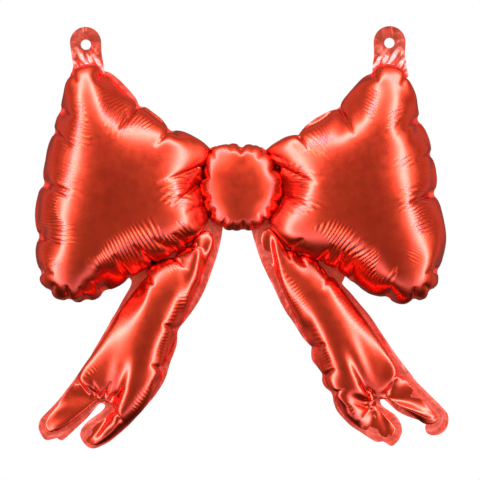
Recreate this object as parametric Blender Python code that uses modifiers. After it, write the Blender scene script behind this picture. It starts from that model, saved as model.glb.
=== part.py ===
"""Inflated foil bow with two hanging tabs, as separate foil chambers joined at their weld lines.

Metres, +Z up, the front faces -Y. The origin is midway between the centres of the two eyelets.
Outlines lie in the XZ plane and are written for the +X half; the -X half mirrors them.
Each chamber is a front foil and a back foil that meet in flat welded rims on either side of y = 0.
"""

import math

import bmesh
import bpy
import numpy as np
from mathutils.geometry import delaunay_2d_cdt

MM = 0.001

# Film and clearances, mm. The film is drawn far thicker than the real 0.05 mm.
FOIL = 0.4
PLY_INNER = 0.25
WELD_SPLIT = 0.5
FOLD_SPLIT = 1.4

# Rims left flat around the inflated area, mm.
LOOP_RIM = 4.5
TAIL_RIM = 4.5
KNOT_RIM = 3.0
WELD_RIM = 2.0

# How far each chamber's film stands out from the middle plane, mm.
LOOP_RISE = 42.0
TAIL_RISE = 20.0
KNOT_RISE = 23.0
DOME_POWER = 0.6

# The knot is a rounded square in outline, mm.
KNOT_HALF_WIDTH = 39.5
KNOT_HALF_HEIGHT = 40.5
KNOT_CENTRE_Z = -135.6
KNOT_SQUARENESS = 2.4

# Where loop and tail meet the knot, as degrees around it from +X.
KNOT_TOP_CORNER = 52.0
KNOT_LOW_CORNER = -41.0
KNOT_TAIL_END = -71.5

# Hanging tabs, mm.
TAB_X = 143.9
TAB_WIDTH = 29.6
TAB_TOP = 16.7
TAB_ROOT = -22.8
EYELET_RADIUS = 4.8

# Self-sealing valve inside the -X loop, mm.
VALVE_WIDTH = 14.0
VALVE_LENGTH = 75.0
VALVE_FILM = 0.1
VALVE_INNER = 0.05

# Gas passages left open in the weld lines, mm.
PASSAGE_HALF_WIDTH = 9.0
PASSAGE_RISE = 2.5
PASSAGE_SETBACK = 1.0
PASSAGE_DEPTH = 8.0
LOOP_PASSAGE = (39.5, -135.6)
TAIL_PASSAGE = (47.5, -184.5)

# Spacing of mesh points, mm.
EDGE_STEP = 8.0
FINE_STEP = 4.5
INNER_STEP = 11.5
TAIL_STEP = 6.5
KNOT_STEP = 8.5

# Outline curves of the +X half, (x, z) in mm.
LOOP_UPPER_EDGE = [
    (160.0, -22.8), (128.4, -22.8), (118.5, -30.3), (109.0, -40.8), (101.4, -50.2), (94.8, -59.7),
    (86.3, -63.0), (76.8, -68.7), (69.2, -74.9), (62.6, -82.0), (51.2, -86.3), (40.8, -91.5),
    (33.2, -95.7),
]
LOOP_TAIL_WELD = [(41.7, -178.2), (53.1, -190.5), (67.3, -199.1), (86.3, -209.5), (102.4, -222.8)]
LOOP_OUTER_EDGE = [
    (102.4, -222.8), (111.9, -228.0), (120.4, -232.7), (130.8, -237.0), (141.3, -243.2),
    (152.6, -245.1), (164.0, -243.2), (173.5, -239.8), (182.0, -233.2), (186.8, -223.7),
    (188.7, -212.4), (191.5, -201.0), (193.4, -187.7), (193.4, -174.4), (191.5, -162.1),
    (189.6, -149.8), (186.8, -138.4), (185.8, -126.1), (183.9, -112.8), (181.1, -100.5),
    (177.3, -87.2), (174.4, -76.8), (170.6, -67.3), (168.7, -57.8), (165.9, -46.5),
    (162.1, -37.9), (160.4, -30.3), (160.0, -22.8),
]
TAIL_OUTER_EDGE = [
    (102.4, -222.8), (107.1, -236.1), (115.7, -248.4), (125.1, -261.6), (135.6, -277.8),
    (145.0, -292.9), (154.5, -306.2), (163.1, -318.5), (171.6, -329.9), (181.1, -340.3),
    (189.6, -349.8), (193.4, -359.3), (191.5, -367.8), (184.9, -373.5), (177.3, -372.6),
    (171.6, -367.8), (165.0, -364.0), (156.4, -358.3), (148.8, -352.7), (142.2, -346.0),
    (136.5, -340.3), (131.8, -338.4),
]
TAIL_INNER_EDGE = [
    (131.8, -338.4), (132.7, -342.7), (139.4, -347.9), (146.9, -354.6), (151.7, -363.1),
    (151.7, -371.6), (146.9, -379.2), (138.4, -381.1), (126.1, -375.4), (113.8, -367.8),
    (101.4, -356.4), (90.1, -343.2), (81.5, -329.9), (74.9, -318.5), (69.2, -305.3),
    (64.5, -292.0), (59.7, -278.7), (54.0, -266.4), (45.5, -254.1), (37.9, -242.7),
    (32.2, -229.4), (26.5, -215.2), (20.9, -201.0), (17.1, -188.7),
]

# The straight line the tail folds about, through these two points, (x, z) in mm.
TAIL_FOLD = ((102.4, -224.7), (31.3, -171.6))


def clear_scene():
    for obj in list(bpy.data.objects):
        bpy.data.objects.remove(obj)


def new_collection(name, hidden=False):
    collection = bpy.data.collections.new(name)
    bpy.context.scene.collection.children.link(collection)
    collection.hide_render = hidden
    return collection


def foil_material(name, colour, roughness):
    material = bpy.data.materials.new(name)
    material.use_nodes = True
    shader = material.node_tree.nodes["Principled BSDF"]
    shader.inputs["Base Color"].default_value = (*colour, 1.0)
    shader.inputs["Metallic"].default_value = 1.0
    shader.inputs["Roughness"].default_value = roughness
    return material


def film_material(name):
    material = bpy.data.materials.new(name)
    material.use_nodes = True
    shader = material.node_tree.nodes["Principled BSDF"]
    shader.inputs["Base Color"].default_value = (0.85, 0.85, 0.83, 1.0)
    shader.inputs["Roughness"].default_value = 0.3
    return material


def knot_point(degrees):
    """A point on the knot's outline."""
    angle = math.radians(degrees)
    power = 2.0 / KNOT_SQUARENESS
    c, s = math.cos(angle), math.sin(angle)
    x = KNOT_HALF_WIDTH * math.copysign(abs(c) ** power, c)
    z = KNOT_HALF_HEIGHT * math.copysign(abs(s) ** power, s)
    return (x, KNOT_CENTRE_Z + z)


def knot_arc(start, end):
    count = max(2, round(abs(end - start) / 3.0))
    return [knot_point(start + (end - start) * i / count) for i in range(count + 1)]


def smooth_curve(points, step):
    """Points about one step apart on a smooth curve through the given ones, with both ends kept."""
    p = np.array([points[0], *points, points[-1]], float)
    dense = []
    for a, b, c, d in zip(p, p[1:], p[2:], p[3:]):
        for t in np.linspace(0, 1, 12, endpoint=False):
            cubic = 2 * b + (c - a) * t + (2 * a - 5 * b + 4 * c - d) * t**2
            dense.append(0.5 * (cubic + (3 * b - 3 * c + d - a) * t**3))
    dense.append(p[-1])
    dense = np.array(dense)
    length = np.r_[0, np.cumsum(np.linalg.norm(np.diff(dense, axis=0), axis=1))]
    wanted = np.linspace(0, length[-1], max(2, round(length[-1] / step)) + 1)
    return np.c_[np.interp(wanted, length, dense[:, 0]), np.interp(wanted, length, dense[:, 1])]


def closed_outline(sections):
    """Joins (points, step, gap, rim) sections into one counter-clockwise loop with values per edge."""
    points, gaps, rims = [], [], []
    for curve, step, gap, rim in sections:
        run = smooth_curve(curve, step)[:-1]
        points.extend(run)
        gaps.extend([gap] * len(run))
        rims.extend([rim] * len(run))
    points, gaps, rims = np.array(points), np.array(gaps), np.array(rims)
    following = np.roll(points, -1, axis=0)
    area = np.sum(points[:, 0] * following[:, 1] - following[:, 0] * points[:, 1])
    if area < 0:
        points = points[::-1]
        gaps = np.roll(gaps[::-1], -1)
        rims = np.roll(rims[::-1], -1)
    return points, gaps, rims


def inset(points, distance):
    """Moves each edge of a counter-clockwise loop inwards by its own distance."""
    along = np.roll(points, -1, axis=0) - points
    along /= np.linalg.norm(along, axis=1)[:, None]
    inward = np.c_[-along[:, 1], along[:, 0]]
    moved = []
    for i, point in enumerate(points):
        n = np.array([inward[i - 1], inward[i]])
        d = np.array([distance[i - 1], distance[i]])
        if abs(np.linalg.det(n)) > 0.3:
            shift = np.linalg.solve(n, d)
        else:
            mean = n.sum(axis=0)
            mean /= np.linalg.norm(mean)
            shift = mean * d.mean()
        most = 2.0 * d.max()
        size = np.linalg.norm(shift)
        moved.append(point + shift * min(1.0, most / size if size else 1.0))
    return np.array(moved)


def passage_bump(points, passages):
    """1 in the middle of a gas passage, falling to 0 at its sides and at its inner end."""
    bump = np.zeros(len(points))
    for centre, across in passages:
        rel = points - np.array(centre)
        across = np.array(across) / np.linalg.norm(across)
        along = rel @ np.array([-across[1], across[0]])
        away = np.abs(rel @ across)
        side = np.cos(np.clip(along / PASSAGE_HALF_WIDTH, -1, 1) * math.pi / 2) ** 2
        bump = np.maximum(bump, side * np.clip(1.6 - away / PASSAGE_DEPTH, 0, 1))
    return bump


def set_back(points, passages):
    """Draws the edge back a little at each passage mouth, so the fold there has room to turn."""
    bump = passage_bump(points, passages)
    middle = points.mean(axis=0)
    inward = middle - points
    inward /= np.linalg.norm(inward, axis=1)[:, None]
    return points + inward * (PASSAGE_SETBACK * bump)[:, None]


def inside(point, loop):
    """Whether a point is inside a closed loop, by the crossings of a ray."""
    x, z = point
    a, b = loop, np.roll(loop, -1, axis=0)
    crosses = (a[:, 1] > z) != (b[:, 1] > z)
    a, b = a[crosses], b[crosses]
    reach = a[:, 0] + (z - a[:, 1]) / (b[:, 1] - a[:, 1]) * (b[:, 0] - a[:, 0])
    return np.count_nonzero(reach > x) % 2 == 1


def fill_points(loop, step):
    """A triangular grid of points inside a loop, clear of its edge."""
    low, high = loop.min(axis=0), loop.max(axis=0)
    dense = smooth_curve([*loop, loop[0]], step / 4)
    found = []
    for row, z in enumerate(np.arange(low[1], high[1], step * 0.866)):
        for x in np.arange(low[0] + (row % 2) * step / 2, high[0], step):
            clear = np.linalg.norm(dense - (x, z), axis=1).min() > 0.62 * step
            if clear and inside((x, z), loop):
                found.append((x, z))
    return found


def flat_mesh(outline, chamber, step):
    """Triangles that fill the outline and follow the chamber's edge, and which points are free to rise."""
    inner = fill_points(chamber, step)
    points = [tuple(p) for p in outline] + [tuple(p) for p in chamber] + inner
    n, m = len(outline), len(chamber)
    edges = [(i, (i + 1) % n) for i in range(n)] + [(n + i, n + (i + 1) % m) for i in range(m)]
    coords, _, faces, origins, _, _ = delaunay_2d_cdt(points, edges, [], 1, 1e-4)
    free = np.array([bool(o) and min(o) >= n + m for o in origins])
    return np.array([tuple(c) for c in coords]), [tuple(f) for f in faces], free


def dome(points, faces, free):
    """Heights from 0 to 1 of a film puffed up over the free points and held down at the others."""
    count = len(points)
    stiffness = np.zeros((count, count))
    load = np.zeros(count)
    for face in faces:
        for k in range(3):
            i, j, o = face[k], face[(k + 1) % 3], face[(k + 2) % 3]
            u, v = points[i] - points[o], points[j] - points[o]
            twice_area = abs(u[0] * v[1] - u[1] * v[0])
            weight = 0.5 * (u @ v) / max(twice_area, 1e-9)
            stiffness[i, i] += weight
            stiffness[j, j] += weight
            stiffness[i, j] -= weight
            stiffness[j, i] -= weight
            load[o] += twice_area / 6
    held = ~free
    stiffness[held] = 0
    stiffness[held, held] = 1
    load[held] = 0
    height = np.clip(np.linalg.solve(stiffness, load), 0, None)
    return (height / height.max()) ** DOME_POWER


def chamber_surface(sections, rise, passages, step=INNER_STEP):
    """Flat points, triangles and heights in mm of one film over a chamber."""
    loop, gaps, rims = closed_outline(sections)
    outline = set_back(inset(loop, gaps), passages)
    chamber = inset(loop, gaps + rims)
    points, faces, free = flat_mesh(outline, chamber, step)
    height = rise * dome(points, faces, free)
    return points, faces, np.maximum(height, PASSAGE_RISE * passage_bump(points, passages))


def add_object(name, vertices, faces, pivot, collection, material):
    """A mesh object whose origin is at the pivot; vertices and pivot are in mm."""
    mesh = bpy.data.meshes.new(name)
    mesh.from_pydata([tuple(v) for v in (vertices - np.array(pivot)) * MM], [], faces)
    mesh.materials.append(material)
    obj = bpy.data.objects.new(name, mesh)
    obj.location = np.array(pivot) * MM
    collection.objects.link(obj)
    return obj


def add_thickness(obj, thickness):
    solid = obj.modifiers.new("thickness", "SOLIDIFY")
    solid.thickness = thickness * MM
    solid.offset = 1.0
    solid.use_even_offset = True


def foil_shell(name, surface, side, facing, pivot, collection, material):
    """One film of a chamber. side is +1 or -1 for +X or -X, facing is -1 for front or +1 for back."""
    points, faces, height = surface
    x = points[:, 0] * side
    y = facing * (PLY_INNER + height)
    vertices = np.c_[x, y, points[:, 1]]
    if side * facing > 0:
        faces = [f[::-1] for f in faces]
    obj = add_object(name, vertices, faces, pivot, collection, material)
    add_thickness(obj, FOIL)
    return obj


def knot_surface():
    loop = [knot_point(a) for a in range(0, 360, 6)]
    sections = [([*loop, loop[0]], FINE_STEP, WELD_SPLIT / 2, KNOT_RIM)]
    across = [((s * LOOP_PASSAGE[0], LOOP_PASSAGE[1]), (1, 0)) for s in (1, -1)]
    return chamber_surface(sections, KNOT_RISE, across, KNOT_STEP)


def tail_passage():
    return (TAIL_PASSAGE, (0.72, -0.69))


def loop_surface():
    upper = LOOP_UPPER_EDGE[1:] + [knot_point(KNOT_TOP_CORNER)]
    weld = [knot_point(KNOT_LOW_CORNER), *LOOP_TAIL_WELD]
    split = WELD_SPLIT / 2
    sections = [
        (LOOP_UPPER_EDGE[:2], EDGE_STEP, FOLD_SPLIT / 2, LOOP_RIM),
        (upper, EDGE_STEP, 0.0, LOOP_RIM),
        (knot_arc(KNOT_TOP_CORNER, KNOT_LOW_CORNER), FINE_STEP, split, WELD_RIM),
        (weld, FINE_STEP + 1, split, WELD_RIM),
        (LOOP_OUTER_EDGE, EDGE_STEP, 0.0, LOOP_RIM),
    ]
    return chamber_surface(sections, LOOP_RISE, [(LOOP_PASSAGE, (1, 0)), tail_passage()])


def tail_surface():
    weld = [knot_point(KNOT_LOW_CORNER), *LOOP_TAIL_WELD]
    inner = [*TAIL_INNER_EDGE, knot_point(KNOT_TAIL_END)]
    split = WELD_SPLIT / 2
    sections = [
        (weld, FINE_STEP + 1, split, WELD_RIM),
        (TAIL_OUTER_EDGE, EDGE_STEP, 0.0, TAIL_RIM),
        (inner, EDGE_STEP, 0.0, TAIL_RIM),
        (knot_arc(KNOT_TAIL_END, KNOT_LOW_CORNER), FINE_STEP, split, WELD_RIM),
    ]
    return chamber_surface(sections, TAIL_RISE, [tail_passage()], TAIL_STEP)


def tail_pivot(side):
    (x0, z0), (x1, z1) = TAIL_FOLD
    return (side * (x0 + x1) / 2, 0.0, (z0 + z1) / 2)


def tab_outline():
    radius = TAB_WIDTH / 2
    arc = [math.radians(a) for a in range(0, 181, 9)]
    top = [(radius * math.cos(a), TAB_TOP - radius + radius * math.sin(a)) for a in arc]
    foot = TAB_ROOT + FOLD_SPLIT / 2
    return [(-radius, foot), (radius, foot), *top]


def eyelet_cutter(side, collection):
    """A rod through one tab, where its hanging hole is punched."""
    mesh = bpy.data.meshes.new("eyelet_cutter")
    shape = bmesh.new()
    bmesh.ops.create_cone(
        shape, cap_ends=True, segments=32, radius1=EYELET_RADIUS * MM, radius2=EYELET_RADIUS * MM, depth=10 * MM
    )
    shape.to_mesh(mesh)
    shape.free()
    cutter = bpy.data.objects.new("eyelet_cutter_%s" % ("right" if side > 0 else "left"), mesh)
    cutter.location = (side * TAB_X * MM, 0, 0)
    cutter.rotation_euler = (math.pi / 2, 0, 0)
    cutter.display_type = "WIRE"
    collection.objects.link(cutter)
    return cutter


def tab_ply(name, side, facing, cutter, collection, material):
    outline = tab_outline()
    vertices = np.array([(side * TAB_X + x, facing * PLY_INNER, z) for x, z in outline])
    face = tuple(range(len(outline)))
    pivot = (side * TAB_X, 0.0, TAB_ROOT)
    obj = add_object(name, vertices, [face if facing < 0 else face[::-1]], pivot, collection, material)
    add_thickness(obj, FOIL)
    hole = obj.modifiers.new("eyelet", "BOOLEAN")
    hole.operation = "DIFFERENCE"
    hole.solver = "EXACT"
    hole.object = cutter
    return obj


def valve_film(name, facing, collection, material):
    """One of the two thin films that press together and keep the gas in."""
    half = VALVE_WIDTH / 2
    top = TAB_ROOT - FOLD_SPLIT / 2 - 0.4
    corners = [(-half, top - VALVE_LENGTH), (half, top - VALVE_LENGTH), (half, top), (-half, top)]
    vertices = np.array([(-TAB_X + x, facing * VALVE_INNER, z) for x, z in corners])
    face = (0, 1, 2, 3) if facing < 0 else (3, 2, 1, 0)
    obj = add_object(name, vertices, [face], (-KNOT_HALF_WIDTH, 0.0, KNOT_CENTRE_Z), collection, material)
    add_thickness(obj, VALVE_FILM)
    return obj


def build():
    clear_scene()
    parts = new_collection("foil_bow_balloon")
    cutters = new_collection("cutters", hidden=True)
    red = (0.62, 0.035, 0.018)
    knot, loop, tail = knot_surface(), loop_surface(), tail_surface()
    for facing, ply in ((-1, "front"), (1, "back")):
        name = "knot_%s_foil" % ply
        centre = (0.0, 0.0, KNOT_CENTRE_Z)
        foil_shell(name, knot, 1, facing, centre, parts, foil_material(name, red, 0.28))
        for side, where in ((-1, "left"), (1, "right")):
            name = "%s_loop_%s_foil" % (where, ply)
            hinge = (side * KNOT_HALF_WIDTH, 0.0, KNOT_CENTRE_Z)
            foil_shell(name, loop, side, facing, hinge, parts, foil_material(name, red, 0.28))
            name = "%s_tail_%s_foil" % (where, ply)
            foil_shell(name, tail, side, facing, tail_pivot(side), parts, foil_material(name, red, 0.28))
        name = "valve_%s_film" % ply
        valve_film(name, facing, parts, film_material(name))
    for side, where in ((-1, "left"), (1, "right")):
        cutter = eyelet_cutter(side, cutters)
        for facing, ply in ((-1, "front"), (1, "back")):
            name = "%s_tab_%s_ply" % (where, ply)
            tab_ply(name, side, facing, cutter, parts, foil_material(name, red, 0.3))


build()
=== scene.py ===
"""The looks of an inflated foil balloon in the shape of a gift bow.

Two metallised films are welded together along the outlines of five gas chambers: two loops, a knot
and two forked tails. Each chamber is inflated here by cloth simulation from a flat pattern that is
larger than its inflated outline, so that the film puckers at the places where its weld is pinched.
Flat weld rims run round the chambers, and the whole hangs by two flat punched tabs.
"""

import math

import bpy
import numpy as np
from mathutils.geometry import delaunay_2d_cdt
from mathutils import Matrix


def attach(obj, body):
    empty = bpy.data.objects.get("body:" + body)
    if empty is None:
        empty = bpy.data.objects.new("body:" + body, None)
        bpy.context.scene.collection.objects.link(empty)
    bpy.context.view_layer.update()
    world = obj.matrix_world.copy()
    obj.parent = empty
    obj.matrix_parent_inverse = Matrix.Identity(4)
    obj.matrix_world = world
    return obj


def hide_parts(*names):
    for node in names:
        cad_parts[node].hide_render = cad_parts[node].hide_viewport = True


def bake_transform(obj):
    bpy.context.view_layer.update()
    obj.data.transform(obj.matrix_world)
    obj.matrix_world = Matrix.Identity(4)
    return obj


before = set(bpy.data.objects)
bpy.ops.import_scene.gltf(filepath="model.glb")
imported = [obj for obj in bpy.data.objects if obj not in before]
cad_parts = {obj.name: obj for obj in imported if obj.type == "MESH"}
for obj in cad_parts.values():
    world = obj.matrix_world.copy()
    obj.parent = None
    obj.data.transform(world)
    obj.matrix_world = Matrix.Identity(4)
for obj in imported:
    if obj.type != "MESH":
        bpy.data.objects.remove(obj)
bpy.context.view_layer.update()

MM = 0.001

# ---- outlines, in millimetres: (across, up) from the middle between the two punched holes -------

# Each chamber's outline is a ring of lobes. A lobe starts at a pinch of the weld and runs, clockwise
# as seen from the front, up to the next lobe's first point.
LEFT_LOOP = [
    [(-130.8, -25.6), (-124.2, -31.3), (-117.6, -38.9), (-109.0, -47.4), (-101.4, -55.0)],
    [(-96.7, -59.7), (-91.0, -59.7), (-84.4, -64.5), (-76.8, -70.2), (-71.1, -76.8)],
    [(-67.3, -82.5), (-60.7, -82.5), (-53.1, -85.3), (-43.6, -90.1), (-36.0, -94.8)],
    [(-29.4, -100.5), (-32.2, -105.2), (-35.1, -112.8), (-37.0, -121.3), (-37.9, -129.9),
     (-38.9, -135.6), (-38.4, -142.2), (-37.0, -149.8), (-34.1, -157.4)],
    [(-30.3, -164.0), (-35.1, -172.5), (-38.9, -176.3), (-43.6, -182.0), (-48.3, -187.7)],
    [(-51.2, -191.5), (-56.9, -195.3), (-65.4, -198.1), (-73.9, -202.4)],
    [(-80.6, -206.7), (-85.3, -209.0), (-92.9, -213.3), (-98.6, -217.1)],
    [(-105.2, -220.9), (-110.9, -225.6), (-116.6, -229.4), (-123.2, -232.3)],
    [(-128.9, -233.2), (-130.8, -235.1), (-134.6, -239.8), (-141.3, -242.7)],
    [(-146.9, -241.7), (-148.8, -243.2), (-154.5, -244.6), (-160.2, -242.7)],
    [(-163.1, -240.8), (-165.9, -242.7), (-171.6, -241.7), (-177.3, -237.9)],
    [(-180.1, -233.2), (-183.0, -232.3), (-187.7, -227.5), (-189.6, -219.9)],
    [(-188.7, -216.1), (-191.0, -213.3), (-193.4, -204.8), (-194.3, -195.3), (-192.9, -186.8)],
    [(-190.5, -182.0), (-192.9, -177.3), (-194.8, -166.8), (-194.8, -157.4), (-192.9, -146.0),
     (-190.1, -137.5)],
    [(-185.8, -132.7), (-187.2, -127.0), (-186.8, -119.4), (-184.9, -110.0), (-183.0, -98.6),
     (-179.6, -89.1)],
    [(-175.4, -83.4), (-176.8, -79.6), (-175.4, -73.9), (-173.5, -67.3)],
    [(-170.2, -62.6), (-170.2, -57.8), (-167.3, -45.5), (-163.5, -36.0)],
    [(-158.3, -28.4), (-154.5, -24.2), (-147.9, -21.3), (-141.3, -20.9), (-135.6, -22.3)],
]

RIGHT_LOOP = [
    [(124.2, -27.5), (132.7, -21.8), (139.4, -20.9), (145.0, -22.3), (150.7, -25.6)],
    [(155.5, -32.2), (161.2, -39.8), (165.0, -48.3), (166.8, -57.8), (168.3, -67.3)],
    [(166.4, -72.0), (170.6, -75.8), (174.4, -81.5), (177.3, -88.2), (179.6, -96.7), (179.6, -102.4)],
    [(178.2, -105.2), (181.1, -108.5), (183.9, -116.6), (185.3, -126.1), (184.9, -134.6)],
    [(182.0, -141.7), (187.2, -149.8), (189.6, -157.4), (191.0, -164.0), (192.9, -174.4),
     (193.9, -183.9), (192.9, -193.4), (190.1, -204.8), (187.2, -212.4)],
    [(185.3, -215.2), (186.8, -219.9), (185.3, -227.5), (181.1, -232.3)],
    [(178.2, -233.2), (176.3, -237.9), (171.6, -241.7), (167.8, -242.7)],
    [(164.0, -240.8), (158.3, -244.1), (151.7, -246.0), (146.0, -244.6), (141.3, -241.7)],
    [(139.4, -239.4), (131.8, -238.9), (122.3, -236.5), (114.7, -231.8), (110.0, -227.5)],
    [(103.3, -224.7), (99.5, -220.4), (94.8, -216.1)],
    [(91.0, -212.4), (87.2, -210.9), (81.5, -208.6)],
    [(75.8, -205.7), (69.2, -202.9), (63.5, -200.0), (56.9, -196.7), (50.2, -195.3)],
    [(44.6, -194.3), (41.7, -187.7), (37.0, -181.1), (31.3, -175.4)],
    [(26.5, -168.7), (33.2, -161.2), (37.9, -153.6), (39.8, -144.1), (40.8, -136.5), (39.8, -129.9),
     (37.0, -121.3), (33.2, -112.8), (27.5, -107.1)],
    [(23.7, -101.4), (32.2, -95.7), (38.9, -92.0), (46.5, -88.2)],
    [(54.0, -87.2), (58.8, -80.6), (67.3, -73.0), (76.8, -67.3), (86.3, -63.0)],
    [(93.4, -60.7), (97.2, -53.1), (103.3, -45.5), (112.8, -35.1), (118.5, -30.3)],
]

KNOT = [
    [(-29.4, -100.5), (-21.8, -97.6), (-15.2, -96.2), (-8.5, -94.8), (-3.8, -95.7)],
    [(0.5, -98.6), (4.7, -96.2), (9.5, -95.7), (15.2, -97.2)],
    [(21.8, -101.4), (25.6, -105.2), (30.3, -110.0)],
    [(34.1, -115.7), (37.9, -124.2), (39.8, -129.9), (40.8, -136.5), (39.8, -143.1)],
    [(37.4, -151.7), (34.1, -159.3), (28.4, -164.0)],
    [(22.8, -168.7), (17.1, -173.5), (10.4, -175.9)],
    [(1.9, -175.9), (-5.7, -176.3), (-12.3, -175.9)],
    [(-18.0, -173.5), (-22.8, -170.6), (-27.5, -167.3)],
    [(-30.3, -163.1), (-34.1, -156.4), (-37.0, -149.8), (-38.4, -143.1), (-38.9, -135.6),
     (-37.9, -128.0)],
    [(-36.0, -120.4), (-34.1, -112.8), (-32.2, -106.2)],
]

LEFT_TAIL = [
    [(-89.1, -219.9), (-88.2, -214.2), (-84.4, -209.5), (-78.7, -206.7), (-71.1, -204.8)],
    [(-62.6, -201.9), (-58.8, -198.1), (-52.1, -194.3)],
    [(-47.4, -189.6), (-42.7, -183.9)],
    [(-37.9, -178.7), (-33.2, -177.3)],
    [(-27.5, -178.2), (-26.1, -185.8), (-27.5, -195.3), (-32.2, -206.7), (-37.0, -218.0),
     (-39.8, -226.6), (-43.6, -235.1), (-48.3, -244.6), (-52.1, -254.1), (-55.9, -262.6)],
    [(-61.1, -271.1), (-61.6, -278.7), (-64.5, -288.2), (-68.3, -296.7)],
    [(-74.9, -307.2), (-74.9, -314.7), (-78.7, -322.3), (-83.4, -329.9), (-88.2, -337.5),
     (-93.9, -346.0), (-102.4, -355.5), (-112.8, -365.0), (-122.3, -372.6), (-131.8, -378.3)],
    [(-140.3, -381.1), (-146.0, -378.3), (-148.4, -373.5), (-146.9, -367.8), (-141.3, -363.1),
     (-133.7, -357.9), (-126.1, -352.7)],
    [(-121.3, -347.0), (-121.3, -341.3), (-124.2, -335.6), (-129.9, -331.8)],
    [(-136.5, -333.2), (-141.3, -339.4), (-147.9, -345.1), (-154.5, -350.8), (-162.1, -357.4),
     (-169.7, -363.1)],
    [(-177.3, -368.3), (-182.0, -367.3), (-184.9, -363.1), (-184.4, -357.4), (-181.1, -350.8),
     (-175.4, -343.2), (-169.7, -335.6), (-163.1, -327.1)],
    [(-156.9, -318.5), (-152.6, -311.9), (-145.0, -301.5), (-137.5, -291.5), (-130.8, -281.6),
     (-124.2, -270.7), (-118.5, -260.7), (-113.8, -253.1), (-109.0, -246.0), (-103.3, -237.9),
     (-97.6, -230.4)],
]

RIGHT_TAIL = [
    [(23.7, -174.4), (28.4, -176.3), (33.2, -182.0), (37.9, -188.7)],
    [(43.6, -194.3), (49.3, -196.7)],
    [(55.9, -199.1), (62.6, -201.9), (69.2, -204.8)],
    [(75.8, -208.6), (77.7, -213.3)],
    [(81.5, -219.0)],
    [(85.3, -219.0), (91.0, -226.6), (97.6, -236.1), (105.2, -246.0), (112.8, -256.4),
     (120.4, -266.9), (127.0, -277.3), (135.6, -290.1), (143.1, -301.0)],
    [(150.7, -311.9), (159.3, -322.3), (166.8, -331.8), (174.4, -340.3), (181.1, -347.9)],
    [(186.3, -353.6), (184.9, -358.3), (179.2, -360.7), (173.5, -359.3), (166.8, -354.6),
     (160.2, -349.8), (152.6, -344.1), (146.0, -338.4)],
    [(138.4, -331.8), (131.8, -329.4), (125.6, -331.8), (122.3, -337.5)],
    [(123.2, -343.2), (128.9, -347.9), (135.6, -352.2), (141.3, -357.4), (145.5, -363.1),
     (146.0, -368.8)],
    [(141.3, -373.5), (131.8, -372.1), (122.3, -368.8), (112.8, -363.6), (103.3, -356.0),
     (95.7, -347.4), (91.0, -339.4)],
    [(87.2, -330.9), (83.4, -325.2), (80.6, -319.5)],
    [(78.2, -313.8), (74.9, -308.1), (71.1, -300.5), (68.7, -294.8)],
    [(67.8, -289.1), (64.5, -282.5), (59.7, -274.0), (55.0, -265.4), (50.2, -255.0), (45.5, -244.6),
     (40.8, -234.2), (36.0, -223.7), (31.3, -212.4), (25.6, -201.9), (20.9, -192.4), (19.4, -183.0)],
]

LEFT_TAIL_RIM = [
    (-105.2, -217.1), (-98.6, -212.4), (-85.3, -203.8), (-71.1, -197.2), (-57.8, -191.5),
    (-49.3, -184.9), (-40.8, -177.3), (-36.0, -170.6), (-34.1, -163.1), (-25.6, -159.3),
    (-18.0, -168.7), (-17.5, -175.4), (-19.0, -184.9), (-21.8, -197.2), (-26.1, -210.5),
    (-30.8, -223.7), (-35.5, -235.1), (-40.8, -245.1), (-47.4, -255.0), (-54.0, -263.5),
    (-57.8, -268.3), (-60.2, -273.0), (-60.7, -283.5), (-63.5, -292.9), (-67.3, -302.4),
    (-70.2, -312.8), (-73.9, -321.4), (-80.6, -331.8), (-87.2, -340.3), (-95.7, -349.8),
    (-105.2, -360.2), (-114.7, -368.8), (-124.2, -376.4), (-132.7, -381.1), (-139.4, -383.5),
    (-145.0, -382.0), (-149.8, -377.3), (-152.6, -370.7), (-150.7, -364.0), (-145.0, -357.4),
    (-138.4, -352.7), (-132.7, -348.4), (-129.4, -344.6), (-129.4, -341.8), (-132.7, -340.3),
    (-135.6, -342.2), (-140.3, -347.9), (-146.0, -354.6), (-154.5, -362.6), (-162.1, -369.7),
    (-169.7, -375.9), (-174.4, -373.5), (-178.2, -374.5), (-184.9, -375.4), (-188.7, -371.6),
    (-192.0, -364.0), (-190.5, -356.4), (-185.8, -350.8), (-179.2, -344.1), (-171.6, -335.6),
    (-165.0, -327.1), (-158.3, -318.5), (-152.6, -310.0), (-145.0, -299.6), (-138.4, -288.2),
    (-132.7, -278.7), (-128.0, -270.2), (-123.2, -261.6), (-118.5, -254.1), (-113.8, -245.5),
    (-109.0, -237.0), (-105.2, -230.4), (-103.8, -224.7), (-106.2, -220.9),
]

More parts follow.
